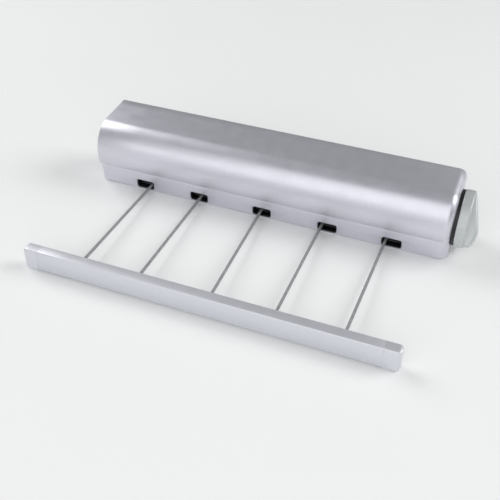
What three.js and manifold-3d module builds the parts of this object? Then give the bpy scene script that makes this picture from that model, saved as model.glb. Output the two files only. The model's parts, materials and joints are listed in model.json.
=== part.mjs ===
// A wall-mounted clothesline with five retractable lines, in millimetres.
// +X runs along the housing towards the lock knob, +Y goes into the wall and +Z is up.
// The origin is the centre of the flat wall face. The pull bar is drawn out and stands on its
// end caps, level with the underside of the housing.
import * as THREE from 'three';
import * as BufferGeometryUtils from 'three/addons/utils/BufferGeometryUtils.js';
import Module from 'manifold-3d';

const wasm = await Module();
wasm.setup();

const GAP = 0.3;                    // between pieces that touch
const CLEAR = 0.05;                 // keeps a cutting outline off the face it would touch
const FAR = 250;                    // past the object in any direction
const EVERYWHERE = [-FAR, FAR];

// Housing
const HOUSING_LEFT = -190;
const HOUSING_RIGHT = 188.5;
const HOUSING_TOP = 36.4;
const HOUSING_BOTTOM = -36;
const HOUSING_FRONT = -63;          // foremost line of the bulging front
const SHELL = 2.4;                  // wall thickness of both covers
const END_WALL = 3.5;
const SEAM_Z = -12.4;               // lower edge of the upper cover
const SEAM_GAP = 0.6;
const SEAM_CLEAR = 0.15;            // keeps the section's corners off the two cuts at the seam
const RIGHT_EDGE_RADIUS = 8;        // the left end is cut square, the right end is rounded over
const LEFT_FOOT_RADIUS = 5;         // lower corner of the left end
const OVERHANG = 12;                // how far a solid runs past the wall plane before it is cut

// Section of the housing in (Y, Z), from the flat top round the shoulder and down the front
const SHOULDER_START = [-40, 32.6];
const SHOULDER_CONTROLS = [[-53, 31.4], [HOUSING_FRONT, 18]];
const SHOULDER_END = [HOUSING_FRONT, 2];
const BROW_CONTROL = [-62.8, -6];
const BROW_EDGE_Y = -59.4;
const LOWER_EDGE_Y = -56.6;
const TOE_START = [-55.6, -33.6];
const TOE_CONTROL_Y = -55.5;
const TOE_END_Y = -53.2;
const SECTION_STEPS = 7;

// Wall plate, with two keyholes to hang it by
const PLATE_THICKNESS = 3;
const PLATE_X = [-186, 184];
const PLATE_Z = [-33.2, 33.3];
const PLATE_CORNERS = [1, 1, 6, 1];
const KEYHOLES = [-150, 150];
const KEYHOLE_Z = 4;
const KEYHOLE_HEAD = 4.5;           // radius that a screw's head goes through
const KEYHOLE_NECK = 2.3;           // half width that its shank slides up
const KEYHOLE_RISE = 10;

// Screws
const SCREW_HEAD = 2.6;
const SCREW_SHANK = 1.25;
const SCREW_HOLE = 1.6;
const SCREW_POCKET = 3;
const SCREW_SUNK = 0.2;             // head below the surface
const PLATE_POCKET_DEPTH = 1.8;
const COVER_POCKET_DEPTH = 1.6;
const PILOT_DEPTH = 14;
const SCREW_X = 169;
const PLATE_SCREWS = [-1, 1].flatMap((side) => [-22, 22].map((z) => [side * SCREW_X, z]));
const PLATE_SCREW_LENGTH = 12;
const COVER_SCREWS = [-SCREW_X, SCREW_X];
const COVER_SCREW_Y = -18;
const COVER_SCREW_LENGTH = 11;

// Drum, on the same axis as the lock knob
const AXIS_Y = -29.5;
const SHAFT_RADIUS = 4;
const SHAFT_X = [-182, 178];
const CORE_RADIUS = 10.6;
const FLANGE_RADIUS = 19;
const FLANGE_THICKNESS = 2;
const WINDING_RADIUS = 16.4;         // two full layers of line
const BAY_EDGES = [-165, -107.5, -39.5, 32, 101, 165];
const BULKHEAD_INNER = 166;
const BULKHEAD_OUTER = 172;
const BULKHEAD_PLAY = 0.5;          // inside the covers
const BUSH_RADIUS = 7.5;

// Mainspring, between an arbor on the shaft and a cup on the left bulkhead
const SPRING_X = [-183.6, -174];
const SPRING_RADII = [6.7, 21.6];
const SPRING_THICKNESS = 0.6;
const SPRING_TURNS = 7;
const SPRING_STEPS_PER_TURN = 16;
const ARBOR_RADIUS = 6.3;
const CUP_RADIUS = 24;
const CUP_WALL = 1.4;
const CUP_END = -185.4;
const CUP_FLOOR = 1.2;
const CUP_BORE = 5;

// Lock: a ratchet wheel on the shaft, a pawl over it and a cam that lifts the pawl.
// Angles about the drum axis are in degrees from +Y towards +Z.
const RATCHET_TEETH = 12;
const TOOTH_TIP = 15;
const TOOTH_ROOT = 12;
const TOOTH_FACE = 2;               // degrees that a tooth's steep face takes up
const FIRST_TOOTH = 110.5;
const WHEEL_X = [173.5, 177.5];
const CAM_X = [179, 183];
const CAM_START = 120;
const CAM_STEP = 10;
const CAM_HIGH = 18;
const CAM_LOW = 15.9;
const CAM_REST = 15.4;
const CAM_FALL = [140, 230];
const CAM_LOW_END = 245;
const PAWL_PIVOT = polar(25, 164);
const PAWL_PIN = 1.5;
const PAWL_PIN_END = 182;
const PAWL_HUB = 3.4;
const PAWL_LIFT = 11;               // degrees between free and engaged
const PAWL_PLAY = 0.2;
const PAWL_BEAK = [
  [17.4, 121], [15.7, 113.4], [12.6, 113.6], [13, 117.5], [13.9, 124], [15.7, 134], [16.6, 143],
];
const PAWL_NOSE = [[16.4, 143], [16.4, 137], [19.5, 137], [20.5, 146]];
const PAWL_SPRING = [[-46, 27.2], [-34, 24.6], [-34, 24.1], [-46.1, 26.7]];
const PAWL_SPRING_END = 178;

// Lock knob
const KNOB_INNER = 191.5;
const KNOB_RIM = 201;               // outer face of the disc
const KNOB_RADIUS = 28.5;
const KNOB_BEVEL = 1;
const KNOB_HOLE = 7;
const KNOB_BUSH = [5.3, 6.7];
const KNOB_BUSH_OUT = 1.5;          // past the end of the housing
const KNOB_WASHER = [7, 27.8];
const SPINDLE_RADIUS = 5;
const SPINDLE_END = 197;
const GRIP_HEIGHT = 10.5;
const GRIP_ANGLE = 225;             // degrees from +Y towards +Z, the way the grip points
const GRIP_HALF_WIDTH = 6.5;
const GRIP_EDGE = 2.5;
const GRIP_TAIL = 0.8;              // height at the low end
const GRIP_CREST = 10;              // where along the grip it is highest
const GRIP_HEEL = 5.5;              // height at the blunt end

// Lines: each leaves the drum below, bends in its guide and runs out to the pull bar
const LINE_RADIUS = 1.5;
const LINE_SIDES = 8;
const LINE_STEPS = 32;
const LINE_BEND = 4;                // length taken up on each side of the bend
const SLOT_CENTRES = [-138.3, -74.5, -3.3, 67.4, 133.8];
const SLOT_WIDTH = 20.4;
const SLOT_LOW = -34.2;
const SLOT_HIGH = -24;
const SLOT_CORNERS = [2, 2, 3, 3];
const GUIDE_X = [-132.2, -73.5, -5.4, 60.7, 127.2];
const GUIDE_Y = -49.5;
const GUIDE_SPAN_Y = [-54.9, -47.6];
const GUIDE_WALL = 0.8;
const LINE_GUIDE_Z = -30.2;
const ANCHOR_X = [-127, -68, 4, 65.4, 128.6];
const LINE_ANCHOR_Z = -25;

// Pull bar
const BAR_HALF = 180;
const BAR_BACK = -209;
const BAR_FRONT = -220;
const BAR_TOP = -13.3;
const BAR_UNDERSIDE = -35.2;        // between the end caps, which reach down to the floor
const BAR_WALL = 1.6;
const BAR_CORNERS = [1.2, 0.5, 0.5, 1.2];
const CAP_LENGTH = 15;
const CAP_CORNER = 3;
const CAP_PLAN_CORNER = 3.5;
const FERRULE_RADIUS = 2.2;
const FERRULE_HOLE = 2.6;
const FERRULE_INSIDE = 4;
const FERRULE_OUTSIDE = 1.2;

const GREY = { color: 0xc4c4cd, roughness: 0.42, metalness: 0.35 };
const BAR_GREY = { color: 0xd6d9e2, roughness: 0.45, metalness: 0.3 };
const KNOB_GREY = { color: 0xbcc0c3, roughness: 0.5, metalness: 0.2 };
const INNER_PLASTIC = { color: 0x9a9ca2, roughness: 0.6, metalness: 0 };
const BLACK_PLASTIC = { color: 0x121216, roughness: 0.5, metalness: 0 };
const NYLON = { color: 0xe8e6dc, roughness: 0.5, metalness: 0 };
const STEEL = { color: 0xa6a8ab, roughness: 0.3, metalness: 1 };
const LINE_GREY = { color: 0xa9adb0, roughness: 0.6, metalness: 0 };

// ---------------------------------------------------------------- solids

// A point in (Y, Z) at a radius and an angle about the drum axis.
function polar(radius, degrees) {
  const angle = THREE.MathUtils.degToRad(degrees);
  return [AXIS_Y + radius * Math.cos(angle), radius * Math.sin(angle)];
}

function welded(geometry) {
  const bare = geometry.clone();
  bare.deleteAttribute('normal');
  bare.deleteAttribute('uv');
  return BufferGeometryUtils.mergeVertices(bare, 1e-4);
}

// Leaves out the triangles that a lathe collapses on its axis.
function withoutCollapsed(indices) {
  const kept = [];
  for (let i = 0; i < indices.length; i += 3) {
    const [a, b, c] = indices.slice(i, i + 3);
    if (a !== b && b !== c && c !== a) kept.push(a, b, c);
  }
  return new Uint32Array(kept);
}

function signedVolume(positions, triangles) {
  const corner = [new THREE.Vector3(), new THREE.Vector3(), new THREE.Vector3()];
  let volume = 0;
  for (let i = 0; i < triangles.length; i += 3) {
    corner.forEach((point, k) => point.fromArray(positions, 3 * triangles[i + k]));
    volume += corner[0].dot(corner[1].clone().cross(corner[2])) / 6;
  }
  return volume;
}

function solid(geometry) {
  const merged = welded(geometry);
  const vertProperties = new Float32Array(merged.attributes.position.array);
  const triVerts = withoutCollapsed(merged.index.array);
  if (signedVolume(vertProperties, triVerts) < 0) {
    for (let i = 0; i < triVerts.length; i += 3) {
      [triVerts[i + 1], triVerts[i + 2]] = [triVerts[i + 2], triVerts[i + 1]];
    }
  }
  return new wasm.Manifold(new wasm.Mesh({ numProp: 3, vertProperties, triVerts }));
}

function geometryOf(manifold) {
  const mesh = manifold.getMesh();
  const geometry = new THREE.BufferGeometry();
  geometry.setAttribute('position', new THREE.BufferAttribute(mesh.vertProperties, 3));
  geometry.setIndex(new THREE.BufferAttribute(mesh.triVerts, 1));
  geometry.computeVertexNormals();
  return geometry;
}

function part(name, manifold, look) {
  const mesh = new THREE.Mesh(geometryOf(manifold), new THREE.MeshStandardMaterial(look));
  mesh.name = name;
  return mesh;
}

function shapeOf(points) {
  return new THREE.Shape(points.map(([u, v]) => new THREE.Vector2(u, v)));
}

// Extrudes a shape drawn in two of the axes along the third.
const AXIS_BASES = {
  x: [[0, 1, 0], [0, 0, 1], [1, 0, 0]],       // drawn in (Y, Z)
  y: [[1, 0, 0], [0, 0, 1], [0, -1, 0]],      // drawn in (X, Z), depth runs towards -Y
  z: [[1, 0, 0], [0, 1, 0], [0, 0, 1]],       // drawn in (X, Y)
};

function extrude(axis, shape, from, to, curveSegments = 6) {
  const depth = Math.abs(to - from);
  const geometry = new THREE.ExtrudeGeometry(shape, { depth, bevelEnabled: false, curveSegments });
  const basis = AXIS_BASES[axis].map((v) => new THREE.Vector3(...v));
  geometry.applyMatrix4(new THREE.Matrix4().makeBasis(...basis));
  const start = axis === 'y' ? Math.max(from, to) : Math.min(from, to);
  geometry.translate(...['x', 'y', 'z'].map((name) => (name === axis ? start : 0)));
  return solid(geometry);
}

function box(x, y, z) {
  const geometry = new THREE.BoxGeometry(x[1] - x[0], y[1] - y[0], z[1] - z[0]);
  geometry.translate((x[0] + x[1]) / 2, (y[0] + y[1]) / 2, (z[0] + z[1]) / 2);
  return solid(geometry);
}

// Turns a profile of [radius, distance along] about an axis through a point. A profile that
// does not start on the axis is closed on itself.
const TURN_TO = {
  x: new THREE.Matrix4().makeRotationZ(-Math.PI / 2),
  y: new THREE.Matrix4(),
  z: new THREE.Matrix4().makeRotationX(Math.PI / 2),
};

function turned(axis, profile, centre, segments = 24) {
  const outline = profile[0][0] > 0 ? [...profile, profile[0]] : profile;
  const points = outline.map(([radius, along]) => new THREE.Vector2(radius, along));
  const geometry = new THREE.LatheGeometry(points, segments);
  geometry.applyMatrix4(TURN_TO[axis]);
  geometry.translate(...centre);
  return solid(geometry);
}

function ring(inner, outer, x0, x1, segments = 24) {
  const profile = [[inner, x0], [outer, x0], [outer, x1], [inner, x1]];
  return turned('x', profile, [0, AXIS_Y, 0], segments);
}

function rod(axis, radius, from, to, centre, segments = 12) {
  const geometry = new THREE.CylinderGeometry(radius, radius, Math.abs(to - from), segments);
  geometry.translate(0, (from + to) / 2, 0);
  geometry.applyMatrix4(TURN_TO[axis]);
  geometry.translate(...centre);
  return solid(geometry);
}

// Swings a solid about an X axis through one point of (Y, Z) and sets that point down at another.
function swung(manifold, degrees, pivot, place) {
  const geometry = geometryOf(manifold);
  geometry.translate(0, -pivot[0], -pivot[1]);
  geometry.rotateX(THREE.MathUtils.degToRad(degrees));
  geometry.translate(0, place[0], place[1]);
  return solid(geometry);
}

function roundedRectangle(u0, u1, v0, v1, radii) {
  const [lowLeft, lowRight, highRight, highLeft] = radii;
  const shape = new THREE.Shape();
  shape.moveTo(u0 + lowLeft, v0);
  shape.lineTo(u1 - lowRight, v0);
  if (lowRight) shape.absarc(u1 - lowRight, v0 + lowRight, lowRight, -Math.PI / 2, 0);
  shape.lineTo(u1, v1 - highRight);
  if (highRight) shape.absarc(u1 - highRight, v1 - highRight, highRight, 0, Math.PI / 2);
  shape.lineTo(u0 + highLeft, v1);
  if (highLeft) shape.absarc(u0 + highLeft, v1 - highLeft, highLeft, Math.PI / 2, Math.PI);
  shape.lineTo(u0, v0 + lowLeft);
  if (lowLeft) shape.absarc(u0 + lowLeft, v0 + lowLeft, lowLeft, Math.PI, 1.5 * Math.PI);
  return shape;
}

// ---------------------------------------------------------------- housing

// A flat top, a rounded shoulder, a bulging front that overhangs the lower cover, and a bottom
// edge with a small radius, which is left square on the inside.
function housingSection(inside) {
  const shape = new THREE.Shape();
  shape.moveTo(OVERHANG, HOUSING_TOP);
  shape.lineTo(0, HOUSING_TOP);
  shape.lineTo(...SHOULDER_START);
  shape.bezierCurveTo(...SHOULDER_CONTROLS.flat(), ...SHOULDER_END);
  shape.quadraticCurveTo(...BROW_CONTROL, BROW_EDGE_Y, SEAM_Z - SEAM_CLEAR);
  shape.lineTo(LOWER_EDGE_Y, SEAM_Z - SEAM_GAP + SEAM_CLEAR);
  if (inside) {
    shape.lineTo(TOE_CONTROL_Y, HOUSING_BOTTOM);
  } else {
    shape.lineTo(...TOE_START);
    shape.quadraticCurveTo(TOE_CONTROL_Y, HOUSING_BOTTOM, TOE_END_Y, HOUSING_BOTTOM);
  }
  shape.lineTo(OVERHANG, HOUSING_BOTTOM);
  return shape.getPoints(SECTION_STEPS);
}

// The same outline moved inwards by a distance, corner by corner.
function inset(points, distance) {
  return points.map((point, i) => {
    const before = points[(i + points.length - 1) % points.length];
    const after = points[(i + 1) % points.length];
    const incoming = point.clone().sub(before).normalize();
    const outgoing = after.clone().sub(point).normalize();
    const normal = new THREE.Vector2(-incoming.y - outgoing.y, incoming.x + outgoing.x).normalize();
    const stretch = distance / (normal.x * -incoming.y + normal.y * incoming.x);
    return point.clone().addScaledVector(normal, stretch);
  });
}

// The closed form of the housing, or of its cavity, with the right end rounded over.
function housingForm(depth, left, right, footRadius) {
  const radius = RIGHT_EDGE_RADIUS - depth;
  const section = new THREE.Shape(inset(housingSection(depth > 0), depth));
  const top = HOUSING_TOP - depth + CLEAR;
  const front = HOUSING_FRONT + depth - CLEAR;
  const low = HOUSING_BOTTOM - CLEAR;
  const corners = [footRadius, 0, radius, 0];
  const frontView = roundedRectangle(left - CLEAR, right + CLEAR, low, top, corners);
  const planView = roundedRectangle(-FAR, right + CLEAR, front, FAR, [0, radius, 0, 0]);
  return extrude('x', section, left, right)
    .intersect(extrude('y', frontView, ...EVERYWHERE, 5))
    .intersect(extrude('z', planView, ...EVERYWHERE, 5));
}

const outerForm = housingForm(0, HOUSING_LEFT, HOUSING_RIGHT, LEFT_FOOT_RADIUS)
  .subtract(box(EVERYWHERE, [0, FAR], EVERYWHERE));
const cavity = housingForm(SHELL, HOUSING_LEFT + END_WALL, HOUSING_RIGHT - END_WALL, 0);

function upperCover() {
  const knobHole = rod('x', KNOB_HOLE, BULKHEAD_OUTER, FAR, [0, AXIS_Y, 0], 24);
  return outerForm.subtract(cavity).subtract(knobHole)
    .subtract(box(EVERYWHERE, EVERYWHERE, [-FAR, SEAM_Z]));
}

function lowerCover() {
  let cover = outerForm.subtract(cavity)
    .subtract(box(EVERYWHERE, EVERYWHERE, [SEAM_Z - SEAM_GAP, FAR]));
  for (const x of SLOT_CENTRES) {
    const half = SLOT_WIDTH / 2;
    const outline = roundedRectangle(x - half, x + half, SLOT_LOW, SLOT_HIGH, SLOT_CORNERS);
    cover = cover.subtract(extrude('y', outline, -FAR, GUIDE_SPAN_Y[1] + GAP, 3));
  }
  for (const x of COVER_SCREWS) {
    const centre = [x, COVER_SCREW_Y, 0];
    cover = cover.subtract(rod('z', SCREW_HOLE, -FAR, HOUSING_BOTTOM + 2 * SHELL, centre))
      .subtract(rod('z', SCREW_POCKET, -FAR, HOUSING_BOTTOM + COVER_POCKET_DEPTH, centre));
  }
  return cover;
}

function keyhole(x) {
  const top = KEYHOLE_Z + KEYHOLE_RISE;
  const head = rod('y', KEYHOLE_HEAD, ...EVERYWHERE, [x, 0, KEYHOLE_Z], 16);
  const neck = box([x - KEYHOLE_NECK, x + KEYHOLE_NECK], EVERYWHERE, [KEYHOLE_Z, top]);
  const neckTop = rod('y', KEYHOLE_NECK, ...EVERYWHERE, [x, 0, top]);
  return head.add(neck).add(neckTop);
}

function wallPlate() {
  const outline = roundedRectangle(...PLATE_X, ...PLATE_Z, PLATE_CORNERS);
  let plate = extrude('y', outline, -PLATE_THICKNESS, 0, 4);
  for (const x of KEYHOLES) {
    plate = plate.subtract(keyhole(x));
  }
  for (const [x, z] of PLATE_SCREWS) {
    plate = plate.subtract(rod('y', SCREW_HOLE, ...EVERYWHERE, [x, 0, z]))
      .subtract(rod('y', SCREW_POCKET, -PLATE_POCKET_DEPTH, FAR, [x, 0, z]));
  }
  return plate;
}

function bulkhead(side) {
  const section = new THREE.Shape(inset(housingSection(true), SHELL + BULKHEAD_PLAY));
  const [x0, x1] = [side * BULKHEAD_INNER, side * BULKHEAD_OUTER];
  let plate = extrude('x', section, x0, x1)
    .subtract(box(EVERYWHERE, [-PLATE_THICKNESS - GAP, FAR], EVERYWHERE))
    .subtract(rod('x', BUSH_RADIUS + GAP, ...EVERYWHERE, [0, AXIS_Y, 0], 24));
  for (const [x, z] of PLATE_SCREWS) {
    plate = plate.subtract(rod('y', SCREW_HOLE, -PILOT_DEPTH, FAR, [x, 0, z]));
  }
  for (const x of COVER_SCREWS) {
    plate = plate.subtract(rod('z', SCREW_HOLE, -FAR, HOUSING_BOTTOM + PILOT_DEPTH, [x, COVER_SCREW_Y, 0]));
  }
  return plate;
}

// A screw that points along +Z or -Y, its head at the given place.
function screw(axis, centre, length) {
  const profile = [
    [0, 0], [SCREW_HEAD, 0], [SCREW_HEAD, 1.1], [SCREW_SHANK, 1.4], [SCREW_SHANK, length], [0, length],
  ];
  const along = axis === 'y' ? profile.map(([radius, t]) => [radius, -t]) : profile;
  return turned(axis, along, centre, 12);
}

function lineGuide(slotX) {
  const outerHalf = SLOT_WIDTH / 2 - GAP;
  const innerHalf = outerHalf - GUIDE_WALL;
  const low = SLOT_LOW + GAP;
  const high = SLOT_HIGH - GAP;
  const corners = SLOT_CORNERS.map((radius) => radius - GAP);
  const holeCorners = SLOT_CORNERS.map((radius) => radius - 1);
  const outline = roundedRectangle(slotX - outerHalf, slotX + outerHalf, low, high, corners);
  outline.holes.push(roundedRectangle(
    slotX - innerHalf, slotX + innerHalf, low + GUIDE_WALL, high - GUIDE_WALL, holeCorners));
  return extrude('y', outline, ...GUIDE_SPAN_Y, 3);
}

// ---------------------------------------------------------------- drum and mainspring

function spool(x0, x1) {
  const bore = SHAFT_RADIUS + GAP;
  const profile = [
    [bore, x0], [FLANGE_RADIUS, x0], [FLANGE_RADIUS, x0 + FLANGE_THICKNESS],
    [CORE_RADIUS, x0 + FLANGE_THICKNESS], [CORE_RADIUS, x1 - FLANGE_THICKNESS],
    [FLANGE_RADIUS, x1 - FLANGE_THICKNESS], [FLANGE_RADIUS, x1], [bore, x1],
  ];
  return turned('x', profile, [0, AXIS_Y, 0], 24);
}

function springCup() {
  const mouth = -BULKHEAD_OUTER - GAP;
  const floor = CUP_END + CUP_FLOOR;
  const profile = [
    [CUP_BORE, CUP_END], [CUP_RADIUS, CUP_END], [CUP_RADIUS, mouth], [CUP_RADIUS - CUP_WALL, mouth],
    [CUP_RADIUS - CUP_WALL, floor], [CUP_BORE, floor],
  ];
  return turned('x', profile, [0, AXIS_Y, 0], 24);
}

// A flat spiral strip between the arbor and the cup.
function mainspring() {
  const [innerRadius, outerRadius] = SPRING_RADII;
  const steps = SPRING_TURNS * SPRING_STEPS_PER_TURN;
  const at = (i, offset) => {
    const radius = innerRadius + (outerRadius - innerRadius) * (i / steps) + offset;
    return polar(radius, (360 * i) / SPRING_STEPS_PER_TURN);
  };
  const inner = Array.from({ length: steps + 1 }, (_, i) => at(i, 0));
  const outer = Array.from({ length: steps + 1 }, (_, i) => at(steps - i, SPRING_THICKNESS));
  return extrude('x', shapeOf([...inner, ...outer]), ...SPRING_X);
}

// ---------------------------------------------------------------- lock

function ratchetWheel() {
  const pitch = 360 / RATCHET_TEETH;
  const outline = [];
  for (let tooth = 0; tooth < RATCHET_TEETH; tooth += 1) {
    const angle = FIRST_TOOTH + tooth * pitch;
    outline.push(polar(TOOTH_TIP, angle), polar(TOOTH_ROOT, angle + TOOTH_FACE));
    outline.push(polar((TOOTH_TIP + TOOTH_ROOT) / 2, angle + (pitch + TOOTH_FACE) / 2));
  }
  return extrude('x', shapeOf(outline), ...WHEEL_X)
    .subtract(rod('x', SHAFT_RADIUS + GAP, ...EVERYWHERE, [0, AXIS_Y, 0], 16));
}

// The pawl is drawn engaged and then lifted about its pivot. A nose beside the beak rides on
// the cam, which holds it clear of the teeth until the knob is turned.
function pawl() {
  const hub = Array.from({ length: 7 }, (_, i) => {
    const angle = THREE.MathUtils.degToRad(-100 + i * 40);
    return [PAWL_PIVOT[0] - PAWL_HUB * Math.cos(angle), PAWL_PIVOT[1] + PAWL_HUB * Math.sin(angle)];
  });
  const arm = shapeOf([...hub, ...PAWL_BEAK.map((point) => polar(...point))]);
  const nose = shapeOf(PAWL_NOSE.map((point) => polar(...point)));
  const start = WHEEL_X[0] + PAWL_PLAY;
  const flat = extrude('x', arm, start, WHEEL_X[1] + 2 * PAWL_PLAY)
    .add(extrude('x', nose, start, CAM_X[1] - PAWL_PLAY))
    .subtract(rod('x', PAWL_PIN + GAP, ...EVERYWHERE, [0, ...PAWL_PIVOT]));
  return swung(flat, PAWL_LIFT, PAWL_PIVOT, PAWL_PIVOT);
}

// The cam's edge falls away over a quarter turn, so the pawl drops as the knob is turned.
function camRadius(angle) {
  const [fallStart, fallEnd] = CAM_FALL;
  if (angle <= fallStart) return CAM_HIGH;
  if (angle > fallEnd) return angle <= CAM_LOW_END ? CAM_LOW : CAM_REST;
  return CAM_HIGH + (CAM_LOW - CAM_HIGH) * ((angle - fallStart) / (fallEnd - fallStart));
}

function camSpindle() {
  const outline = [];
  for (let angle = CAM_START; angle < CAM_START + 360; angle += CAM_STEP) {
    outline.push(polar(camRadius(angle), angle));
  }
  return extrude('x', shapeOf(outline), ...CAM_X)
    .add(rod('x', SPINDLE_RADIUS, CAM_X[0] + 1, SPINDLE_END, [0, AXIS_Y, 0], 20));
}

// A disc with a finger grip across it that rises from the rim and ends blunt.
function lockKnob() {
  const disc = turned('x', [
    [0, KNOB_INNER], [KNOB_RADIUS - KNOB_BEVEL, KNOB_INNER], [KNOB_RADIUS, KNOB_INNER + KNOB_BEVEL],
    [KNOB_RADIUS, KNOB_RIM - KNOB_BEVEL], [KNOB_RADIUS - KNOB_BEVEL, KNOB_RIM], [0, KNOB_RIM],
  ], [0, AXIS_Y, 0], 48);
  const base = KNOB_RIM - 1;
  const top = KNOB_RIM + GRIP_HEIGHT;
  const side = new THREE.Shape();
  side.moveTo(base, -KNOB_RADIUS + 2);
  side.lineTo(KNOB_RIM + GRIP_TAIL, -KNOB_RADIUS + 2);
  side.lineTo(top, GRIP_CREST);
  side.quadraticCurveTo(top + 0.5, KNOB_RADIUS - 6, KNOB_RIM + GRIP_HEEL, KNOB_RADIUS - 2.5);
  side.lineTo(base, KNOB_RADIUS - 1.8);
  const half = GRIP_HALF_WIDTH;
  const across = roundedRectangle(base - 1, top + 1, -half, half, [0, GRIP_EDGE, GRIP_EDGE, 0]);
  const grip = extrude('z', side, -half, half).intersect(extrude('y', across, ...EVERYWHERE, 4));
  const socket = rod('x', SPINDLE_RADIUS + GAP, BULKHEAD_OUTER, SPINDLE_END + 0.5, [0, AXIS_Y, 0], 20);
  return disc.add(swung(grip, GRIP_ANGLE, [0, 0], [AXIS_Y, 0])).subtract(socket);
}

// A leaf that presses the pawl down, held by the right bulkhead.
function pawlSpring() {
  return extrude('x', shapeOf(PAWL_SPRING), BULKHEAD_OUTER + GAP, PAWL_SPRING_END);
}

// ---------------------------------------------------------------- pull bar

function barFront() {
  const outline = roundedRectangle(BAR_FRONT, BAR_BACK, BAR_UNDERSIDE, BAR_TOP, BAR_CORNERS);
  const length = BAR_HALF - CAP_LENGTH - GAP;
  const inside = [BAR_UNDERSIDE + BAR_WALL, BAR_TOP - BAR_WALL];
  const hollow = box(EVERYWHERE, [BAR_FRONT + BAR_WALL, FAR], inside);
  return extrude('x', outline, -length, length, 3).subtract(hollow);
}

function barBack() {
  const length = BAR_HALF - CAP_LENGTH - GAP;
  const inside = [BAR_UNDERSIDE + BAR_WALL + GAP, BAR_TOP - BAR_WALL - GAP];
  let plate = box([-length, length], [BAR_BACK - BAR_WALL, BAR_BACK], inside);
  for (const x of ANCHOR_X) {
    plate = plate.subtract(rod('y', FERRULE_HOLE, ...EVERYWHERE, [x, 0, LINE_ANCHOR_Z]));
  }
  return plate;
}

function barCap(side) {
  const inner = side * (BAR_HALF - CAP_LENGTH);
  const outer = side * BAR_HALF;
  const [low, high] = [Math.min(inner, outer), Math.max(inner, outer)];
  const atOuter = (radius) => (side > 0 ? [0, radius, radius, 0] : [radius, 0, 0, radius]);
  const section = roundedRectangle(BAR_FRONT, BAR_BACK, HOUSING_BOTTOM, BAR_TOP, BAR_CORNERS);
  const [left, right] = [low - CLEAR, high + CLEAR];
  const frontView = roundedRectangle(
    left, right, HOUSING_BOTTOM - CLEAR, BAR_TOP + CLEAR, atOuter(CAP_CORNER));
  const planView = roundedRectangle(
    left, right, BAR_FRONT - CLEAR, BAR_BACK + CLEAR, atOuter(CAP_PLAN_CORNER));
  return extrude('x', section, low, high, 3)
    .intersect(extrude('y', frontView, ...EVERYWHERE, 4))
    .intersect(extrude('z', planView, ...EVERYWHERE, 4));
}

function ferrule(x) {
  const span = [BAR_BACK - FERRULE_INSIDE, BAR_BACK + FERRULE_OUTSIDE];
  return rod('y', FERRULE_RADIUS, ...span, [x, 0, LINE_ANCHOR_Z], 12);
}

// ---------------------------------------------------------------- lines

// The line leaves the winding at its lower tangent, turns in the guide and runs to the ferrule.
function lineRoute(guideX, anchorX) {
  const guide = new THREE.Vector3(guideX, GUIDE_Y, LINE_GUIDE_Z);
  const anchor = new THREE.Vector3(anchorX, BAR_BACK + FERRULE_OUTSIDE + GAP, LINE_ANCHOR_Z);
  const radius = WINDING_RADIUS + GAP + LINE_RADIUS;
  const reach = Math.hypot(guide.y - AXIS_Y, guide.z);
  const angle = Math.atan2(guide.z, guide.y - AXIS_Y) + Math.acos(radius / reach);
  const start = new THREE.Vector3(
    guideX, AXIS_Y + radius * Math.cos(angle), radius * Math.sin(angle));
  const before = guide.clone().add(start.clone().sub(guide).setLength(LINE_BEND));
  const after = guide.clone().add(anchor.clone().sub(guide).setLength(LINE_BEND));
  const route = new THREE.CurvePath();
  route.add(new THREE.LineCurve3(start, before));
  route.add(new THREE.QuadraticBezierCurve3(before, guide, after));
  route.add(new THREE.LineCurve3(after, anchor));
  return route;
}

function line(guideX, anchorX) {
  const section = Array.from({ length: LINE_SIDES }, (_, i) => {
    const angle = (2 * Math.PI * i) / LINE_SIDES;
    return [LINE_RADIUS * Math.cos(angle), LINE_RADIUS * Math.sin(angle)];
  });
  const extrudePath = lineRoute(guideX, anchorX);
  const settings = { steps: LINE_STEPS, extrudePath, bevelEnabled: false };
  return solid(new THREE.ExtrudeGeometry(shapeOf(section), settings));
}

// ---------------------------------------------------------------- assembly

const housing = new THREE.Group();
housing.add(
  part('wall_plate', wallPlate(), INNER_PLASTIC),
  part('upper_cover', upperCover(), GREY),
  part('lower_cover', lowerCover(), GREY),
  part('left_bulkhead', bulkhead(-1), INNER_PLASTIC),
  part('right_bulkhead', bulkhead(1), INNER_PLASTIC),
  part('left_bush', ring(SHAFT_RADIUS + GAP, BUSH_RADIUS, -BULKHEAD_OUTER, -BULKHEAD_INNER), NYLON),
  part('right_bush', ring(SHAFT_RADIUS + GAP, BUSH_RADIUS, BULKHEAD_INNER, BULKHEAD_OUTER), NYLON),
  part('knob_bush', ring(...KNOB_BUSH, HOUSING_RIGHT - END_WALL, HOUSING_RIGHT + KNOB_BUSH_OUT), NYLON),
  part('knob_washer', ring(...KNOB_WASHER, HOUSING_RIGHT + GAP, KNOB_INNER - GAP, 48), BLACK_PLASTIC),
  part('spring_cup', springCup(), INNER_PLASTIC),
  part('mainspring', mainspring(), STEEL),
  part('pawl_pin', rod('x', PAWL_PIN, BULKHEAD_OUTER + GAP, PAWL_PIN_END, [0, ...PAWL_PIVOT]), STEEL),
  part('pawl_spring', pawlSpring(), STEEL),
);
SLOT_CENTRES.forEach((x, i) => housing.add(part(`line_guide_${i + 1}`, lineGuide(x), BLACK_PLASTIC)));
PLATE_SCREWS.forEach(([x, z], i) => {
  housing.add(part(`plate_screw_${i + 1}`, screw('y', [x, -SCREW_SUNK, z], PLATE_SCREW_LENGTH), STEEL));
});
COVER_SCREWS.forEach((x, i) => {
  const head = [x, COVER_SCREW_Y, HOUSING_BOTTOM + SCREW_SUNK];
  housing.add(part(`cover_screw_${i + 1}`, screw('z', head, COVER_SCREW_LENGTH), STEEL));
});

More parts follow.
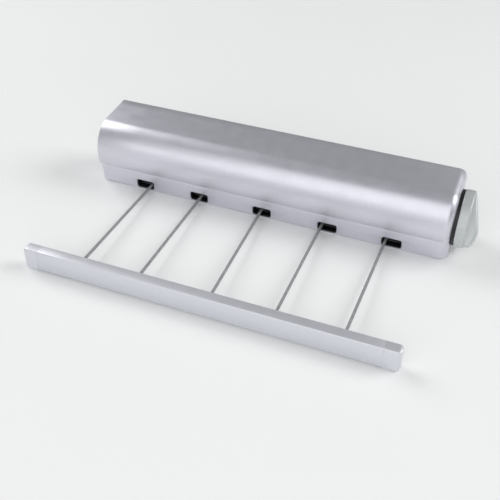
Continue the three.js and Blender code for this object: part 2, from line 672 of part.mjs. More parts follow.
const drum = new THREE.Group();
drum.add(
  part('drum_shaft', rod('x', SHAFT_RADIUS, ...SHAFT_X, [0, AXIS_Y, 0], 16), STEEL),
  part('spring_arbor', ring(SHAFT_RADIUS + GAP, ARBOR_RADIUS, ...SPRING_X), INNER_PLASTIC),
  part('ratchet_wheel', ratchetWheel(), NYLON),
);
for (let bay = 0; bay < SLOT_CENTRES.length; bay += 1) {
  const [x0, x1] = [BAY_EDGES[bay] + GAP / 2, BAY_EDGES[bay + 1] - GAP / 2];
  const margin = FLANGE_THICKNESS + GAP;
  drum.add(part(`spool_${bay + 1}`, spool(x0, x1), INNER_PLASTIC));
  drum.add(part(`winding_${bay + 1}`,
    ring(CORE_RADIUS + GAP, WINDING_RADIUS, x0 + margin, x1 - margin), LINE_GREY));
}

const lock = new THREE.Group();
lock.add(part('lock_knob', lockKnob(), KNOB_GREY), part('cam_spindle', camSpindle(), NYLON));
const pawlGroup = new THREE.Group();
pawlGroup.add(part('pawl', pawl(), NYLON));

const pullBar = new THREE.Group();
pullBar.add(
  part('bar_front', barFront(), BAR_GREY),
  part('bar_back', barBack(), BAR_GREY),
  part('bar_cap_left', barCap(-1), BAR_GREY),
  part('bar_cap_right', barCap(1), BAR_GREY),
);
ANCHOR_X.forEach((x, i) => pullBar.add(part(`ferrule_${i + 1}`, ferrule(x), STEEL)));

const lines = new THREE.Group();
GUIDE_X.forEach((x, i) => lines.add(part(`line_${i + 1}`, line(x, ANCHOR_X[i]), LINE_GREY)));

const clothesline = new THREE.Group();
clothesline.add(housing, drum, lock, pawlGroup, pullBar, lines);

export default clothesline;
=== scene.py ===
"""A wall-mounted clothesline with five retractable lines, dressed around its CAD frame.

Everything is in metres, in the frame's own axes: +X towards the lock knob, +Y into the wall, +Z up.
"""

import json
import math

import bmesh
import bpy
import numpy as np
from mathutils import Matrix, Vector


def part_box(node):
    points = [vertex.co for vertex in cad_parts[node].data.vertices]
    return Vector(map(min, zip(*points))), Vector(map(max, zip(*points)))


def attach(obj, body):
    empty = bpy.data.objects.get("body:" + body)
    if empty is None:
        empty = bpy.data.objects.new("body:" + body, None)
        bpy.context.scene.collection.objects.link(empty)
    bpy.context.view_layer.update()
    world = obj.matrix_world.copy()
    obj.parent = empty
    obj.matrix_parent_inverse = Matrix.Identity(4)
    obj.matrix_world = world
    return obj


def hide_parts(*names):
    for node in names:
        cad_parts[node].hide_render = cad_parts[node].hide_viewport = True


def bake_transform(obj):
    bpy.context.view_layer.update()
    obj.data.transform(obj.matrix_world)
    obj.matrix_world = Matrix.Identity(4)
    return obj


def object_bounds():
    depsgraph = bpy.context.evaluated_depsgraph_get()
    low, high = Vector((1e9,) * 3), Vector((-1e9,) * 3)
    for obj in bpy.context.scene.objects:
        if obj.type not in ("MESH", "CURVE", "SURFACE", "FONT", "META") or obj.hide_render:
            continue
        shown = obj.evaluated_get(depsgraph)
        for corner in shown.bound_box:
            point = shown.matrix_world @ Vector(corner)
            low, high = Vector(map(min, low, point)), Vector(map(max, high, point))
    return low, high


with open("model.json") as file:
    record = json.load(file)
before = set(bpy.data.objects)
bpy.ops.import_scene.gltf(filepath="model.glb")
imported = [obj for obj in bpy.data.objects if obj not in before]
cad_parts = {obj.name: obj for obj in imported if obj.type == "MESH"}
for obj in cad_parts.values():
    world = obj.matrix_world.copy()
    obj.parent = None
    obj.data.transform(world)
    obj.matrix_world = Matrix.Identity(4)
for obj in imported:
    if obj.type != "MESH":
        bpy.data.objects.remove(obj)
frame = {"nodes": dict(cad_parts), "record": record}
cad_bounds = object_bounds()

MM = 0.001

# The viewpoint, from the middle of the housing's wall face
CAMERA_PLACE = (0.2239, -0.6786, 0.4274)
CAMERA_TURN = (52.62, -0.87, 21.68)     # degrees about X, Y and Z
CAMERA_LENS = 55.8

# Studio: a wide floor, an even surround and softboxes that all face one point
FLOOR_REACH = 6
FLOOR_COLOR = (0.975, 0.985, 0.978, 1)
SURROUND_COLOR = (0.98, 0.985, 1.0, 1)
SURROUND_STRENGTH = 0.23
LIGHT_TARGET = (0, -0.1, 0)
LIGHTS = [                              # name, place, width and height, watts
    ("front_softbox", (0.3, -1.4, 1.45), (2.4, 0.9), 8),
    ("front_fill", (0.1, -2.4, 0.8), (4.0, 1.3), 20),
    ("left_softbox", (-2.2, 0.5, 1.7), (1.7, 1.7), 32),
    ("right_softbox", (2.2, 0.9, 1.7), (1.7, 1.7), 38),
    ("back_panel", (0.8, 2.2, 1.3), (1.6, 1.0), 1),
]

# Housing shell, as in the CAD
SHELL = 2.4 * MM
END_WALL = 3.5 * MM
RIGHT_ROUND = 8 * MM                    # the right end's rounded-over edge
LEFT_ROUND = 0.5 * MM
LEFT_FOOT = 5 * MM                      # the left end's rounded lower corner
KNOB_HOLE = 0.007
PAST = 0.01                             # how far a cutting solid runs past the face it cuts
UPPER_EDGE = 0.35 * MM                  # rounding of the covers' edges
LOWER_EDGE = 0.4 * MM

# Section of the housing in (Y, Z), from the flat top round the shoulder and down the front
SHOULDER_Y = -0.040
SHOULDER_DROP = 0.0038
SHOULDER_HIGH = (-0.053, 0.0314)
SHOULDER_LOW_Z = 0.018
SHOULDER_END_Z = 0.002
BROW_Z = -0.006
BROW_EDGE_Y = -0.0594
LOWER_EDGE_Y = -0.0566
TOE_START = (-0.0556, -0.0336)
TOE_CONTROL_Y = -0.0555
TOE_END_Y = -0.0532
FRONT_Y = -0.055                        # in front of this the lower cover draws back at its ends

# Lines, their guides and their windings
LINE_RADIUS = 1.5 * MM
GUIDE_X = (-0.1322, -0.0735, -0.0054, 0.0607, 0.1272)
GUIDE_BEND_Y = -0.0495
GUIDE_BEND_Z = -0.0302
GUIDE_WALL = 0.8 * MM
BEND = 0.004                            # length of line taken up on each side of the bend
GAP = 0.3 * MM
TURN_PITCH = 3.1 * MM                   # one turn of wound line beside the next
LAYER_STEP = 2.6 * MM
TURN_STEPS = 20
WOUND_LENGTH = 3.39                     # line on each spool, two layers and part of a third

# Screws, in millimetres: (radius, distance from the head's face) down to the thread
SCREW_HEAD = [(0, 0), (2.35, 0), (2.6, 0.2), (2.6, 0.75), (1.25, 1.4)]
THREAD_START = 1.9
THREAD_PITCH = 0.9
THREAD_RADII = (1.05, 1.25)             # at the root and at the crest
RECESS = (1.5 * MM, 0.32 * MM, 0.9 * MM)    # half length, half width and depth of the cross

# Pull bar
BAR_WALL = 1.6 * MM
BAR_CORNER = 1.3 * MM
CAP_ROUND = 3.6 * MM

# Lock knob
RIM_DEPTH = 9.5 * MM
RIM_EDGE = 1.2 * MM
RIDGES = 84
RIDGE_DEPTH = 0.22 * MM
STEPS_PER_RIDGE = 5
SOCKET_RADIUS = 0.0053
GRIP_TURN = 225                         # degrees from +Y towards +Z
GRIP_HALF = 6.4 * MM
GRIP_CREST = 0.68                       # where along the grip it is highest
GRIP_MARGIN = 1.8 * MM                  # rim left free at each end of the grip
GRIP_ROOT = 1.5 * MM                    # how deep the grip is sunk in the disc


# ---------------------------------------------------------------- materials

def srgb(red, green, blue):
    """A colour given as 0 to 255 per channel, in linear light."""
    def linear(value):
        value /= 255
        return value / 12.92 if value <= 0.04045 else ((value + 0.055) / 1.055) ** 2.4
    return (linear(red), linear(green), linear(blue), 1)


class Finish:
    """A procedural material that is built up node by node."""

    def __init__(self, name, color, metallic, roughness):
        self.material = bpy.data.materials.new(name)
        self.material.use_nodes = True
        self.tree = self.material.node_tree
        self.shader = self.tree.nodes["Principled BSDF"]
        self.coordinates = self.node("ShaderNodeTexCoord").outputs["Object"]
        self.shader.inputs["Base Color"].default_value = color
        self.shader.inputs["Metallic"].default_value = metallic
        self.shader.inputs["Roughness"].default_value = roughness
        self.bump = None

    def node(self, kind, **settings):
        made = self.tree.nodes.new(kind)
        for name, value in settings.items():
            setattr(made, name, value)
        return made

    def link(self, output, target):
        self.tree.links.new(output, target)

    def stretched(self, scale):
        mapping = self.node("ShaderNodeMapping")
        mapping.inputs["Scale"].default_value = scale
        self.link(self.coordinates, mapping.inputs["Vector"])
        return mapping.outputs["Vector"]

    def noise(self, scale, detail=2.0, stretch=(1, 1, 1)):
        made = self.node("ShaderNodeTexNoise")
        made.inputs["Scale"].default_value = scale
        made.inputs["Detail"].default_value = detail
        self.link(self.stretched(stretch), made.inputs["Vector"])
        return made.outputs["Fac"]

    def speckle(self, scale):
        made = self.node("ShaderNodeTexVoronoi")
        made.inputs["Scale"].default_value = scale
        self.link(self.coordinates, made.inputs["Vector"])
        return made.outputs["Color"]

    def ranged(self, value, low, high):
        made = self.node("ShaderNodeMapRange")
        made.inputs["From Min"].default_value = 0.3
        made.inputs["From Max"].default_value = 0.7
        made.inputs["To Min"].default_value = low
        made.inputs["To Max"].default_value = high
        self.link(value, made.inputs["Value"])
        return made.outputs["Result"]

    def vary_color(self, value, dark, light):
        ramp = self.node("ShaderNodeValToRGB")
        ramp.color_ramp.elements[0].position = 0.3
        ramp.color_ramp.elements[1].position = 0.7
        ramp.color_ramp.elements[0].color = dark
        ramp.color_ramp.elements[1].color = light
        self.link(value, ramp.inputs["Fac"])
        self.link(ramp.outputs["Color"], self.shader.inputs["Base Color"])
        return self

    def vary_roughness(self, value, low, high):
        self.link(self.ranged(value, low, high), self.shader.inputs["Roughness"])
        return self

    def add_bump(self, value, distance, strength=1.0):
        made = self.node("ShaderNodeBump")
        made.inputs["Distance"].default_value = distance
        made.inputs["Strength"].default_value = strength
        self.link(value, made.inputs["Height"])
        if self.bump:
            self.link(self.bump, made.inputs["Normal"])
        self.bump = made.outputs["Normal"]
        self.link(self.bump, self.shader.inputs["Normal"])
        return self


def silver_paint(name, dark, light, roughness, metallic):
    """Satin silver paint on moulded plastic: fine metal flake over a faint orange peel."""
    finish = Finish(name, light, metallic, roughness)
    flake = finish.speckle(4200)
    finish.vary_color(flake, dark, light)
    finish.vary_roughness(finish.noise(90, 3), roughness - 0.03, roughness + 0.04)
    finish.add_bump(finish.noise(1800, 2), 0.00001, 0.25)
    finish.add_bump(finish.noise(60, 1), 0.00004, 0.2)
    return finish.material


def moulded(name, color, roughness, grain=1400, worn=0.06):
    """Plain moulded plastic with a fine spark-eroded grain."""
    finish = Finish(name, color, 0, roughness)
    darker = tuple(channel * (1 - worn) for channel in color[:3]) + (1,)
    lighter = tuple(min(1, channel * (1 + worn)) for channel in color[:3]) + (1,)
    finish.vary_color(finish.noise(40, 4), darker, lighter)
    finish.vary_roughness(finish.noise(120, 3), roughness - 0.05, roughness + 0.06)
    finish.add_bump(finish.noise(grain, 3), 0.00003, 0.5)
    return finish.material


def steel():
    finish = Finish("bright_steel", srgb(190, 192, 195), 1, 0.3)
    streaks = finish.noise(60, 4, stretch=(30, 1, 1))
    finish.vary_roughness(streaks, 0.22, 0.38)
    finish.add_bump(streaks, 0.00002, 0.3)
    return finish.material


def coated_line():
    """Plastic-coated line: the strands under the skin show as a shallow twist."""
    finish = Finish("coated_line", srgb(152, 155, 156), 0, 0.45)
    wave = finish.node("ShaderNodeTexWave", bands_direction="Y")
    wave.inputs["Scale"].default_value = 260
    wave.inputs["Distortion"].default_value = 0.6
    finish.link(finish.stretched((0.6, 1, 1.4)), wave.inputs["Vector"])
    finish.vary_color(finish.noise(220, 3), srgb(140, 143, 144), srgb(160, 163, 164))
    finish.add_bump(wave.outputs["Fac"], 0.00008, 0.5)
    return finish.material


HOUSING_PAINT = silver_paint("housing_paint", srgb(214, 214, 223), srgb(226, 226, 235), 0.38, 0.8)
BAR_PAINT = silver_paint("bar_paint", srgb(218, 219, 226), srgb(228, 229, 236), 0.42, 0.65)
KNOB_PLASTIC = silver_paint("knob_plastic", srgb(196, 200, 201), srgb(206, 210, 211), 0.45, 0.45)
GUIDE_PLASTIC = moulded("guide_plastic", (0.006, 0.006, 0.008, 1), 0.45)
INNER_PLASTIC = moulded("inner_plastic", srgb(120, 122, 127), 0.55)
NYLON = moulded("natural_nylon", srgb(224, 222, 210), 0.45)
STEEL = steel()
LINE_COAT = coated_line()
FINISH_OF_SLOT = {
    "housing_paint": HOUSING_PAINT,
    "bar_paint": BAR_PAINT,
    "knob_plastic": KNOB_PLASTIC,
    "guide_plastic": GUIDE_PLASTIC,
    "inner_plastic": INNER_PLASTIC,
    "nylon": NYLON,
    "steel": STEEL,
    "line": LINE_COAT,
}


# ---------------------------------------------------------------- mesh helpers

def new_piece(name, vertices, faces, material=None):
    mesh = bpy.data.meshes.new(name)
    mesh.from_pydata([tuple(v) for v in vertices], [], faces)
    mesh.validate()
    piece = bpy.data.objects.new(name, mesh)
    bpy.context.scene.collection.objects.link(piece)
    if material:
        mesh.materials.append(material)
    return piece


def loft(name, rings, material=None, around=True, capped=True):
    """Skins a row of rings that have the same number of points."""
    count = len(rings[0])
    vertices = [point for ring in rings for point in ring]
    faces = []
    for k in range(len(rings) - 1):
        for i in range(count if around else count - 1):
            j = (i + 1) % count
            faces.append((k * count + i, k * count + j, (k + 1) * count + j, (k + 1) * count + i))
    if capped:
        faces.append(tuple(reversed(range(count))))
        faces.append(tuple(range((len(rings) - 1) * count, len(rings) * count)))
    piece = new_piece(name, vertices, faces, material)
    outward(piece)
    return piece


def outward(piece):
    """Turns the faces of a closed mesh to point out."""
    work = bmesh.new()
    work.from_mesh(piece.data)
    bmesh.ops.recalc_face_normals(work, faces=work.faces)
    work.to_mesh(piece.data)
    work.free()


def settle(piece):
    """Applies a piece's modifiers to its mesh."""
    depsgraph = bpy.context.evaluated_depsgraph_get()
    done = bpy.data.meshes.new_from_object(piece.evaluated_get(depsgraph))
    piece.modifiers.clear()
    old = piece.data
    piece.data = done
    bpy.data.meshes.remove(old)
    return piece


def combine(piece, other, operation):
    """Cuts another solid from a piece, or joins it on, and discards the other."""
    modifier = piece.modifiers.new("combine", "BOOLEAN")
    modifier.operation = operation
    modifier.object = other
    modifier.solver = "EXACT"
    settle(piece)
    bpy.data.objects.remove(other, do_unlink=True)
    return piece


def soften(piece, width, segments=2, angle=35):
    """Rounds the sharp edges a little, so that they catch the light."""
    modifier = piece.modifiers.new("edges", "BEVEL")
    modifier.width = width
    modifier.segments = segments
    modifier.limit_method = "ANGLE"
    modifier.angle_limit = math.radians(angle)
    modifier.harden_normals = False
    settle(piece)
    return smooth(piece, angle)


def smooth(piece, angle=35):
    for polygon in piece.data.polygons:
        polygon.use_smooth = True
    bpy.context.view_layer.objects.active = piece
    piece.select_set(True)
    bpy.ops.object.shade_smooth_by_angle(angle=math.radians(angle))
    piece.select_set(False)
    return piece


def rounded_rectangle(u0, u1, v0, v1, radius, steps=5):
    corners = [(u1 - radius, v0 + radius, -90), (u1 - radius, v1 - radius, 0),
               (u0 + radius, v1 - radius, 90), (u0 + radius, v0 + radius, 180)]
    outline = []
    for u, v, first in corners:
        for k in range(steps + 1):
            angle = math.radians(first + 90 * k / steps)
            outline.append((u + radius * math.cos(angle), v + radius * math.sin(angle)))
    return outline


def circle(radius, count, phase=0.0):
    angles = [2 * math.pi * k / count + phase for k in range(count)]
    return [(radius * math.cos(angle), radius * math.sin(angle)) for angle in angles]


X, Y, Z = Vector((1, 0, 0)), Vector((0, 1, 0)), Vector((0, 0, 1))
TURNED_ABOUT = {"x": (X, (Y, Z)), "y": (Y, (Z, X)), "z": (Z, (X, Y))}


def turned(name, profile, centre, axis, material, segments=48):
    """Turns a profile of (radius, distance along) about an axis.

    The profile starts and ends on the axis, or is closed on itself.
    """
    along, across = TURNED_ABOUT[axis]
    closed = profile[0][0] > 0
    rings = []
    for radius, distance in profile:
        rings.append([Vector(centre) + along * distance + across[0] * u + across[1] * v
                      for u, v in circle(max(radius, 1e-7), segments)])
    if closed:
        rings.append(rings[0])
    piece = loft(name, rings, material, capped=not closed)
    merge_close(piece)
    return piece


def merge_close(piece, distance=1e-6):
    work = bmesh.new()
    work.from_mesh(piece.data)
    bmesh.ops.remove_doubles(work, verts=work.verts, dist=distance)
    bmesh.ops.dissolve_degenerate(work, edges=work.edges, dist=distance / 10)
    bmesh.ops.recalc_face_normals(work, faces=work.faces)
    work.to_mesh(piece.data)
    work.free()


def middle(node):
    low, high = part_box(node)
    return (Vector(low) + Vector(high)) / 2


# ---------------------------------------------------------------- camera, light and floor

def make_camera():
    camera = bpy.data.cameras.new("camera")
    camera.lens = CAMERA_LENS
    camera.sensor_width = 36
    camera.clip_start = 0.01
    holder = bpy.data.objects.new("camera", camera)
    holder.location = CAMERA_PLACE
    holder.rotation_euler = [math.radians(angle) for angle in CAMERA_TURN]
    bpy.context.scene.collection.objects.link(holder)
    bpy.context.scene.camera = holder


def make_floor():
    ground = cad_bounds[0][2]
    reach = FLOOR_REACH
    corners = [(-reach, -reach), (reach, -reach), (reach, reach), (-reach, reach)]
    floor = new_piece("floor", [(x, y, ground) for x, y in corners], [(0, 1, 2, 3)])
    finish = Finish("floor", FLOOR_COLOR, 0, 0.75)
    finish.vary_roughness(finish.noise(6, 2), 0.7, 0.8)
    floor.data.materials.append(finish.material)


def add_light(name, place, size, power):
    light = bpy.data.lights.new(name, "AREA")
    light.shape = "RECTANGLE"
    light.size, light.size_y = size
    light.energy = power
    holder = bpy.data.objects.new(name, light)
    holder.location = place
    holder.rotation_euler = (Vector(LIGHT_TARGET) - Vector(place)).to_track_quat("-Z", "Y").to_euler()
    bpy.context.scene.collection.objects.link(holder)


def make_lights():
    world = bpy.data.worlds.new("studio")
    world.use_nodes = True
    background = world.node_tree.nodes["Background"]
    background.inputs["Color"].default_value = SURROUND_COLOR
    background.inputs["Strength"].default_value = SURROUND_STRENGTH
    bpy.context.scene.world = world
    bpy.context.scene.view_settings.view_transform = "Standard"
    for light in LIGHTS:
        add_light(*light)


# ---------------------------------------------------------------- housing

def bezier(points, count):
    """Points along a Bezier curve of any order, the first left out."""
    out = []
    for k in range(1, count + 1):
        t = k / count
        work = [np.array(p, float) for p in points]
        while len(work) > 1:
            work = [a * (1 - t) + b * t for a, b in zip(work, work[1:])]
        out.append(tuple(work[0]))
    return out


def upper_curve(top, front, seam):
    """The upper cover's section in (Y, Z), from the wall over the top and down to the seam."""
    points = [(0.0, top)]
    shoulder = (SHOULDER_Y, top - SHOULDER_DROP)
    foremost = (front, SHOULDER_END_Z)
    points += bezier([(0, top), shoulder], 4)
    points += bezier([shoulder, SHOULDER_HIGH, (front, SHOULDER_LOW_Z), foremost], 22)
    points += bezier([foremost, (front + 0.0002, BROW_Z), (BROW_EDGE_Y, seam)], 8)
    return points


def lower_curve(seam, bottom, inside=False):
    """The lower cover's section, from the seam down the front and along the underside to the wall."""
    points = [(LOWER_EDGE_Y, seam)]
    if inside:
        points += bezier([points[0], (TOE_CONTROL_Y, bottom)], 4)
        return points + bezier([(TOE_CONTROL_Y, bottom), (0, bottom)], 6)
    points += bezier([points[0], TOE_START], 4)
    points += bezier([TOE_START, (TOE_CONTROL_Y, bottom), (TOE_END_Y, bottom)], 9)
    points += bezier([(TOE_END_Y, bottom), (0, bottom)], 6)
    return points


def moved_in(points, distance):
    """An open outline moved towards the inside of the housing."""
    array = np.array(points)
    tangent = np.gradient(array, axis=0)
    tangent /= np.linalg.norm(tangent, axis=1)[:, None]
    normal = np.stack([-tangent[:, 1], tangent[:, 0]], axis=1)
    return [tuple(p) for p in array + normal * distance]


def end_stations(left, right, left_round, right_round, steps=9):
    """(X, inset) pairs from one end to the other, with each end's edge rounded over."""
    stations = [(left + left_round * (1 - math.cos(math.pi / 2 * k / 3)),
                 left_round * (1 - math.sin(math.pi / 2 * k / 3))) for k in range(4)]
    span = right - right_round - stations[-1][0]
    stations += [(stations[3][0] + span * k / 8, 0) for k in range(1, 8)]
    for k in range(steps + 1):
        angle = math.pi / 2 * k / steps
        stations.append((right - right_round * (1 - math.sin(angle)),
                         right_round * (1 - math.cos(angle))))
    return stations


def upper_cover():
    low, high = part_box("upper_cover")
    seam = low[2]
    curve = upper_curve(high[2], low[1], seam)
    rings = []
    for x, depth in end_stations(low[0], high[0], LEFT_ROUND, RIGHT_ROUND):
        outline = moved_in(curve, depth)
        outline[0] = (0, outline[0][1])
        outline[-1] = (outline[-1][0], seam)
        rings.append([(x, y, z) for y, z in outline + [(0, seam)]])
    cover = loft("upper_cover_shell", rings, HOUSING_PAINT)
    rings = []
    inner_left, inner_right = low[0] + END_WALL, high[0] - END_WALL
    for x, depth in end_stations(inner_left, inner_right, LEFT_ROUND, RIGHT_ROUND - SHELL):
        outline = moved_in(curve, depth + SHELL)
        below = [(outline[-1][0], seam - PAST), (PAST, seam - PAST)]
        outline = [(PAST, outline[0][1])] + outline + below
        rings.append([(x, y, z) for y, z in outline])
    combine(cover, loft("cavity", rings), "DIFFERENCE")
    axis = middle("knob_bush")
    hole = turned("hole", [(0, 0), (KNOB_HOLE, 0), (KNOB_HOLE, 2 * PAST), (0, 2 * PAST)],
                  (high[0] - PAST, axis[1], axis[2]), "x", None, 48)
    combine(cover, hole, "DIFFERENCE")
    soften(cover, UPPER_EDGE)
    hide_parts("upper_cover")
    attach(cover, "housing")


def lower_cover():
    low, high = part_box("lower_cover")
    seam = high[2]
    curve = lower_curve(seam, low[2])

    def ring(x, outline, depth, raised=0.0):
        """A section drawn back from the front by a depth and cut off a little above the underside."""
        return [(x, y + depth * min(1, y / FRONT_Y), max(z, low[2] + raised)) for y, z in outline]

    rings = []
    for k in range(7):
        angle = math.pi / 2 * k / 6
        rings.append(ring(low[0] + LEFT_FOOT * (1 - math.cos(angle)), curve + [(0, seam)],
                          LEFT_ROUND * max(0, 1 - k), LEFT_FOOT * (1 - math.sin(angle))))
    stations = end_stations(low[0], high[0], LEFT_ROUND, RIGHT_ROUND)
    rings += [ring(x, curve + [(0, seam)], depth) for x, depth in stations[4:]]
    cover = loft("lower_cover_shell", rings, HOUSING_PAINT)
    inner = [(y + SHELL * min(1, y / FRONT_Y), z + SHELL * (z < seam - 0.02))
             for y, z in lower_curve(seam, low[2], inside=True)]
    inner = [(inner[0][0], seam + PAST)] + inner + [(PAST, inner[-1][1]), (PAST, seam + PAST)]
    inner_left, inner_right = low[0] + END_WALL, high[0] - END_WALL
    stations = end_stations(inner_left, inner_right, LEFT_ROUND, RIGHT_ROUND - SHELL)
    rings = [ring(x, inner, depth) for x, depth in stations]
    combine(cover, loft("cavity", rings), "DIFFERENCE")
    for number in range(1, 6):
        slot_low, slot_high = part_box(f"line_guide_{number}")
        outline = rounded_rectangle(slot_low[0] - GAP, slot_high[0] + GAP, slot_low[2] - GAP,
                                    slot_high[2] + GAP, 2.6 * MM, 6)
        rings = [[(x, y, z) for x, z in outline] for y in (-0.065, slot_high[1] + GAP)]
        combine(cover, loft("slot", rings), "DIFFERENCE")
    for number in (1, 2):
        place = middle(f"cover_screw_{number}")
        profile = [(0, -PAST), (0.003, -PAST), (0.003, 0.0016), (0.0016, 0.0016),
                   (0.0016, 0.006), (0, 0.006)]
        pocket = turned("pocket", profile, (place[0], place[1], low[2]), "z", None, 32)
        combine(cover, pocket, "DIFFERENCE")
    soften(cover, LOWER_EDGE)
    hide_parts("lower_cover")
    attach(cover, "housing")


def line_guide(number):
    """A black bush with a rolled mouth, pressed into a slot of the lower cover."""
    node = f"line_guide_{number}"
    low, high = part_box(node)
    depth = high[1] - low[1]
    stations = [(0, 0.4 * MM), (0.12 * MM, 0.12 * MM), (0.4 * MM, 0), (depth - 0.4 * MM, 0),
                (depth, 0.3 * MM)]
    rings = []
    for along, edge in stations:
        outline = rounded_rectangle(low[0] + edge, high[0] - edge, low[2] + edge, high[2] - edge,
                                    2.3 * MM - edge)
        rings.append([(x, low[1] + along, z) for x, z in outline])
    for along, edge in reversed(stations):
        inset = GUIDE_WALL - edge / 2
        outline = rounded_rectangle(low[0] + inset, high[0] - inset, low[2] + inset, high[2] - inset,
                                    1.5 * MM)
        rings.append([(x, low[1] + along, z) for x, z in outline])
    rings.append(rings[0])
    guide = loft(f"guide_bush_{number}", rings, GUIDE_PLASTIC, capped=False)
    merge_close(guide)
    smooth(guide)
    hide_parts(node)
    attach(guide, "housing")


# ---------------------------------------------------------------- lines and windings

def tube(name, path, radius, sides, material, phase=0.0):
    """A tube along a path, its section carried along without twisting."""
    points = [Vector(p) for p in path]
    tangents = []
    for k in range(len(points)):
        before, after = points[max(0, k - 1)], points[min(len(points) - 1, k + 1)]
        tangents.append((after - before).normalized())
    side = tangents[0].cross(Vector((0, 0, 1)))
    side = (side if side.length > 0.1 else tangents[0].cross(Vector((1, 0, 0)))).normalized()
    rings = []
    for point, tangent in zip(points, tangents):
        side = (side - tangent * side.dot(tangent)).normalized()
        up = tangent.cross(side)
        rings.append([point + side * u + up * v for u, v in circle(radius, sides, phase)])
    return loft(name, rings, material)


def line_path(number):
    """Centre line from the winding, round the bend in the guide and out to the ferrule."""
    anchor = middle(f"ferrule_{number}")
    ferrule_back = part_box(f"ferrule_{number}")[1][1]
    axis = middle("drum_shaft")
    winding_low, winding_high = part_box("winding_1")
    winding_radius = (winding_high[1] - winding_low[1]) / 2
    guide_x = GUIDE_X[number - 1]
    guide = Vector((guide_x, GUIDE_BEND_Y, GUIDE_BEND_Z))
    end = Vector((anchor[0], ferrule_back - 0.5 * MM, anchor[2]))
    radius = winding_radius + GAP + LINE_RADIUS
    reach = math.hypot(guide.y - axis[1], guide.z - axis[2])
    angle = math.atan2(guide.z - axis[2], guide.y - axis[1]) + math.acos(radius / reach)
    start = Vector((guide_x, axis[1] + radius * math.cos(angle), axis[2] + radius * math.sin(angle)))
    before = guide + (start - guide).normalized() * BEND
    after = guide + (end - guide).normalized() * BEND
    path = [start + (before - start) * k / 8 for k in range(9)]
    path += [Vector(p) for p in bezier([before, guide, after], 8)]
    path += [after + (end - after) * k / 48 for k in range(1, 49)]
    return path


def line(number):
    path = line_path(number)
    piece = tube(f"line_run_{number}", path, LINE_RADIUS, 12, LINE_COAT)
    smooth(piece, 60)
    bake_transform(piece)
    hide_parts(f"line_{number}")


def winding(number):
    """The wound part of a line, layer on layer over the core until its whole length is on."""
    node = f"winding_{number}"
    low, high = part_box(node)
    axis = middle("drum_shaft")
    core = (high[1] - low[1]) / 2 - LINE_RADIUS - LAYER_STEP
    turns = int((high[0] - low[0] - 2 * LINE_RADIUS) / TURN_PITCH)
    path = []
    wound = 0.0
    x = low[0] + LINE_RADIUS
    k = 0
    while wound < WOUND_LENGTH:
        layer, step = divmod(k, turns * TURN_STEPS)
        angle = 2 * math.pi * k / TURN_STEPS
        climb = LAYER_STEP * (min(1, step / TURN_STEPS) - 1) if layer else 0
        radius = core + LAYER_STEP * layer + climb
        path.append((x, axis[1] + radius * math.cos(angle), axis[2] + radius * math.sin(angle)))
        x += (-1) ** layer * TURN_PITCH / TURN_STEPS
        wound += 2 * math.pi * radius / TURN_STEPS
        k += 1
    piece = tube(f"wound_line_{number}", path, LINE_RADIUS, 6, LINE_COAT)
    smooth(piece, 60)
    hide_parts(node)
    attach(piece, "drum")


# ---------------------------------------------------------------- pull bar

def bar_profile(low, high, radius):
    return rounded_rectangle(low[1], high[1], low[2], high[2], radius, 5)


def pull_bar():
    low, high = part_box("bar_front")
    cap_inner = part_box("bar_cap_right")[0][0]
    rings = [[(x, y, z) for y, z in bar_profile(low, high, BAR_CORNER)]
             for x in np.linspace(-cap_inner, cap_inner, 12)]
    bar = loft("bar_channel", rings, BAR_PAINT)
    back_low, back_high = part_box("bar_back")
    hollow = rounded_rectangle(low[1] + BAR_WALL, high[1] + PAST, back_low[2] - GAP, back_high[2] + GAP,
                               0.4 * MM, 2)
    combine(bar, loft("hollow", [[(x, y, z) for y, z in hollow] for x in (-0.2, 0.2)]), "DIFFERENCE")
    soften(bar, 0.25 * MM)
    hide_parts("bar_front")
    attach(bar, "pull_bar")


def bar_cap(side):
    """An end cap with rounded outer corners; its foot stands a little below the bar."""
    node = f"bar_cap_{side}"
    low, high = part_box(node)
    sign = 1 if side == "right" else -1
    inner = low[0] if sign > 0 else high[0]
    outer = high[0] if sign > 0 else low[0]
    length = abs(outer - inner)
    rings = []
    stations = [(0.05 * MM, 0), (length * 0.3, 0), (length * 0.55, 0)]
    steps = 10
    for k in range(steps + 1):
        angle = math.pi / 2 * k / steps
        stations.append((length - CAP_ROUND * (1 - math.sin(angle)), CAP_ROUND * (1 - math.cos(angle))))
    for along, depth in stations:
        x = inner + sign * along
        inset_y = depth * 0.85
        corner = min(BAR_CORNER + depth * 0.5, (high[1] - low[1]) / 2 - inset_y - 0.1 * MM)
        bottom, top = low[2] + depth * 0.8, high[2] - depth * 0.5
        outline = rounded_rectangle(low[1] + inset_y, high[1] - inset_y, bottom, top, corner, 5)
        rings.append([(x, y, z) for y, z in outline])
    cap = loft(f"end_cap_{side}", rings, BAR_PAINT)
    smooth(cap, 40)
    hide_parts(node)
    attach(cap, "pull_bar")


def ferrule(number):
    """A crimped sleeve with two pressed grooves."""
    node = f"ferrule_{number}"
    low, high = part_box(node)
    centre = middle(node)
    length = high[1] - low[1]
    radius = (high[0] - low[0]) / 2
    profile = [(0, -length / 2), (radius - 0.0003, -length / 2), (radius, -length / 2 + 0.0003)]
    for along in np.linspace(-0.7, 0.7, 15):
        press = 0.00025 if int((along + 0.7) / 0.2) % 2 else 0
        profile.append((radius - press, along * length / 2))
    profile += [(radius, length / 2 - 0.0003), (radius - 0.0003, length / 2), (0, length / 2)]
    piece = turned(f"crimp_{number}", profile, centre, "y", STEEL, 24)
    smooth(piece)
    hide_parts(node)
    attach(piece, "pull_bar")


# ---------------------------------------------------------------- lock knob

